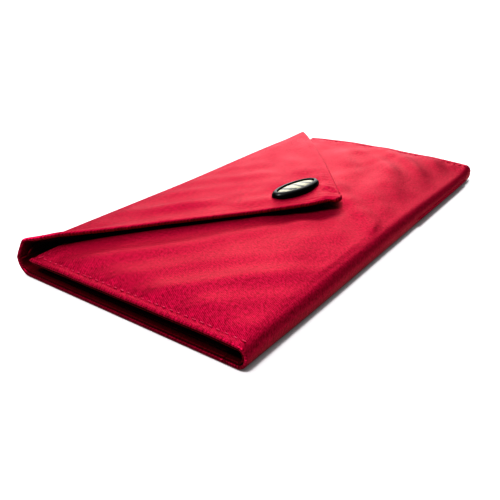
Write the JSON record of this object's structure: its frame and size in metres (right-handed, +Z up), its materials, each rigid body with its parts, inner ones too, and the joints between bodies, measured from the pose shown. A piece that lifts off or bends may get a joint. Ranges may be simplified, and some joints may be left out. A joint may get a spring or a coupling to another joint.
{
  "type": "envelope pouch",
  "caption": "Slim stiffened satin envelope pouch lying closed: triangular flap on a spine, round bottom fold, bellows gussets, oval button over a magnetic snap.",
  "frame": {"origin": "centre of the bounding box's base, on the surface that the pouch lies on", "axes": "+X along the long side, +Y from the bottom fold to the spine, +Z up out of the flap"},
  "size_m": [0.2, 0.1036, 0.016],
  "materials": {
    "satin": "lustrous red satin weave",
    "interfacing": "stiff woven interfacing",
    "lining": "plain dark red lining",
    "gusset": "red satin, unlined",
    "thread": "red polyester thread",
    "resin": "polished black resin",
    "inlay": "pale shell-effect resin with dark bands",
    "nickel": "nickel plate",
    "magnet": "sintered magnet"
  },
  "bodies": {
    "back": {"back_outer": "satin", "back_stiffener": "interfacing", "back_lining": "lining", "left_gusset_back_leaf": "gusset", "right_gusset_back_leaf": "gusset"},
    "front": {"front_outer": "satin", "front_stiffener": "interfacing", "front_lining": "lining", "left_gusset_front_leaf": "gusset", "right_gusset_front_leaf": "gusset", "snap_socket": "nickel", "snap_magnet": "magnet", "snap_socket_washer": "nickel"},
    "spine": {"spine_outer": "satin", "spine_stiffener": "interfacing", "spine_lining": "lining"},
    "flap": {"flap_outer": "satin", "flap_stiffener": "interfacing", "flap_lining": "lining", "button_body": "resin", "button_inlay": "inlay", "button_shank": "resin", "button_thread": "thread", "snap_stud": "nickel", "snap_stud_washer": "nickel"}
  },
  "joints": [
    {"name": "spine_hinge", "type": "hinge", "parent": "back", "child": "spine", "pos_m": [0, 0.051, 0.0008], "axis": [-1, 0, 0], "range_deg": [0, 90]},
    {"name": "flap_hinge", "type": "hinge", "parent": "spine", "child": "flap", "pos_m": [0, 0.051, 0.0091], "axis": [-1, 0, 0], "range_deg": [0, 83]},
    {"name": "front_hinge", "type": "hinge", "parent": "back", "child": "front", "pos_m": [0, -0.04705, 0.00475], "axis": [1, 0, 0], "range_deg": [0, 7]}
  ],
  "couplings": [
    {"joint": "front_hinge", "follows": "flap_hinge", "ratio": 0.0843}
  ]
}
